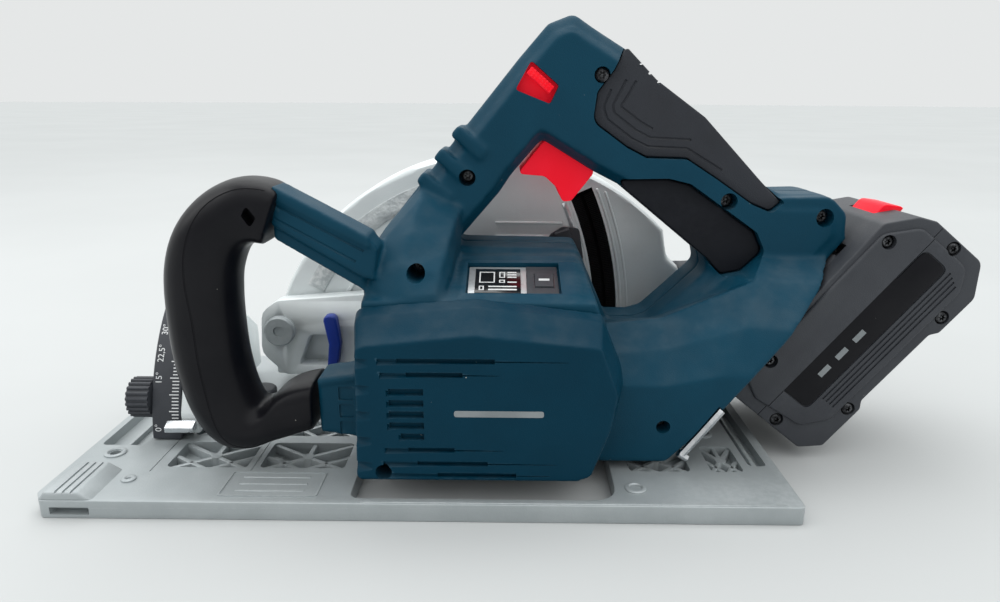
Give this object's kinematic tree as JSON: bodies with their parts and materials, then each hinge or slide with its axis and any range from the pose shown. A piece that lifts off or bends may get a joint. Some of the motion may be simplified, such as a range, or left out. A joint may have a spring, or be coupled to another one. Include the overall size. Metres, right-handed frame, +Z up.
{
  "type": "track plunge saw",
  "caption": "Battery track plunge saw: sole plate, bevel quadrants, blade guard, plunging motor head with D handle, and a slide-on battery.",
  "frame": {"origin": "on the underside of the sole plate, straight below the plunge hinge", "axes": "+X from the plunge hinge to the battery end, +Y from the motor side to the blade side, +Z up"},
  "size_m": [0.4498, 0.186, 0.2742],
  "materials": {
    "blue_plastic": "moulded glass-filled plastic with a fine spark-eroded grain, satin",
    "black_plastic": "moulded black plastic, fine grain, satin",
    "soft_grip": "soft moulded-on rubber, dull, with a raised pattern",
    "red_plastic": "smooth bright red plastic",
    "cobalt_plastic": "cobalt blue plastic, satin",
    "cast_metal": "pressure die casting, silver-grey, softly blasted",
    "bright_steel": "turned or ground steel",
    "cell_steel": "cells in plain metal cans; aluminium stands in for their mean density",
    "copper": "copper windings on a laminated core",
    "circuit": "printed circuit board, green solder mask"
  },
  "bodies": {
    "base": {"base_plate": "cast_metal", "glide_strip": "black_plastic", "front_quadrant": "black_plastic", "rear_quadrant": "black_plastic"},
    "tilt": {"guard_inner": "cast_metal", "guard_outer": "cast_metal", "slot_brush_outer": "black_plastic", "slot_brush_inner": "black_plastic", "front_carrier": "cast_metal", "rear_carrier": "cast_metal", "angle_pointer": "bright_steel", "hinge_pin": "bright_steel", "return_spring": "bright_steel", "depth_scale": "bright_steel"},
    "head": {"hinge_cap": "bright_steel", "gear_case": "cast_metal", "guide_pin": "bright_steel", "arbor_bearing": "bright_steel", "stator": "copper", "housing_left": "blue_plastic", "housing_right": "blue_plastic", "grip_top": "soft_grip", "grip_low": "soft_grip", "motor_cover": "blue_plastic", "display_panel": "black_plastic", "front_handle": "black_plastic", "switch_module": "black_plastic", "control_board": "circuit", "battery_shoe": "black_plastic", "housing_screw_1": "bright_steel", "housing_screw_2": "bright_steel", "housing_screw_3": "bright_steel", "housing_screw_4": "bright_steel"},
    "blade": {"arbor_shaft": "bright_steel", "saw_blade": "bright_steel", "blade_flange": "bright_steel", "blade_bolt": "bright_steel", "blade_wheel": "bright_steel"},
    "reduction": {"idler_wheel": "bright_steel", "idler_pinion": "bright_steel", "idler_shaft": "bright_steel"},
    "rotor": {"motor_pinion": "bright_steel", "rotor_core": "bright_steel", "motor_shaft": "bright_steel", "motor_fan": "black_plastic"},
    "trigger": {"trigger": "red_plastic"},
    "lock_off": {"lock_off": "red_plastic"},
    "battery": {"battery_top": "black_plastic", "battery_case": "black_plastic", "cell_pack": "cell_steel"},
    "battery_button": {"battery_button": "red_plastic"},
    "front_knob": {"front_bevel_knob": "black_plastic"},
    "rear_knob": {"rear_bevel_knob": "black_plastic"},
    "plunge_lever": {"lock_lever": "cobalt_plastic"},
    "depth_stop": {"depth_stop": "black_plastic"},
    "dust_port": {"dust_port": "black_plastic"},
    "hex_key": {"hex_key": "bright_steel"},
    "front_cam": {"front_cam": "black_plastic"},
    "rear_cam": {"rear_cam": "black_plastic"},
    "speed_button": {"speed_button": "black_plastic"}
  },
  "joints": [
    {"name": "bevel_tilt", "type": "hinge", "parent": "base", "child": "tilt", "pos_m": [0, 0.07, 0], "axis": [-1, 0, 0], "range_deg": [0, 47]},
    {"name": "plunge", "type": "hinge", "parent": "tilt", "child": "head", "pos_m": [0, 0.07, 0.05], "axis": [0, -1, 0], "range_deg": [0, 20]},
    {"name": "blade_spin", "type": "hinge", "parent": "head", "child": "blade", "pos_m": [0.15, 0.07, 0.018], "axis": [0, 1, 0], "continuous": true},
    {"name": "reduction_spin", "type": "hinge", "parent": "head", "child": "reduction", "pos_m": [0.137, 0.02, 0.0345], "axis": [0, 1, 0], "continuous": true},
    {"name": "rotor_spin", "type": "hinge", "parent": "head", "child": "rotor", "pos_m": [0.124, 0, 0.051], "axis": [0, 1, 0], "continuous": true},
    {"name": "trigger_squeeze", "type": "slide", "parent": "head", "child": "trigger", "axis": [0.5501, 0, 0.8351], "range_m": [0, 0.006], "stiffness_N_per_m": 400, "springref_m": -0.004},
    {"name": "lock_off_push", "type": "slide", "parent": "head", "child": "lock_off", "axis": [-0.65, 0, -0.76], "range_m": [0, 0.003], "stiffness_N_per_m": 400, "springref_m": -0.003},
    {"name": "battery_slide", "type": "slide", "parent": "head", "child": "battery", "axis": [0.6225, 0, 0.7826], "range_m": [0, 0.09]},
    {"name": "battery_release", "type": "slide", "parent": "battery", "child": "battery_button", "axis": [-0.6225, 0, -0.7826], "range_m": [0, 0.0015], "stiffness_N_per_m": 400, "springref_m": -0.002},
    {"name": "front_knob_turn", "type": "hinge", "parent": "tilt", "child": "front_knob", "pos_m": [-0.057, -0.01892, 0.02889], "axis": [1, 0, 0], "range_deg": [0, 120]},
    {"name": "rear_knob_turn", "type": "hinge", "parent": "tilt", "child": "rear_knob", "pos_m": [0.255, 0.03468, 0.01878], "axis": [1, 0, 0], "range_deg": [0, 120]},
    {"name": "plunge_lever_turn", "type": "hinge", "parent": "head", "child": "plunge_lever", "pos_m": [0.029, 0.032, 0.056], "axis": [0, -1, 0], "range_deg": [0, 35]},
    {"name": "depth_stop_turn", "type": "hinge", "parent": "tilt", "child": "depth_stop", "pos_m": [0, 0.048, 0.05], "axis": [0, -1, 0], "range_deg": [-6, 4]},
    {"name": "dust_port_swivel", "type": "hinge", "parent": "tilt", "child": "dust_port", "pos_m": [0.238, 0.069, 0.068], "axis": [-1, 0, 0], "range_deg": [0, 90]},
    {"name": "hex_key_pull", "type": "slide", "parent": "head", "child": "hex_key", "axis": [0, -1, 0], "range_m": [0, 0.02]},
    {"name": "front_cam_turn", "type": "hinge", "parent": "base", "child": "front_cam", "pos_m": [-0.013, 0.027, 0.009], "axis": [0, 0, 1], "range_deg": [-60, 60]},
    {"name": "rear_cam_turn", "type": "hinge", "parent": "base", "child": "rear_cam", "pos_m": [0.215, 0.027, 0.009], "axis": [0, 0, 1], "range_deg": [-60, 60]},
    {"name": "speed_press", "type": "slide", "parent": "head", "child": "speed_button", "axis": [0, 0.29, -0.957], "range_m": [0, 0.0005], "stiffness_N_per_m": 400, "springref_m": -0.001}
  ],
  "couplings": [
    {"joint": "reduction_spin", "follows": "blade_spin", "ratio": -2},
    {"joint": "rotor_spin", "follows": "blade_spin", "ratio": 4}
  ]
}
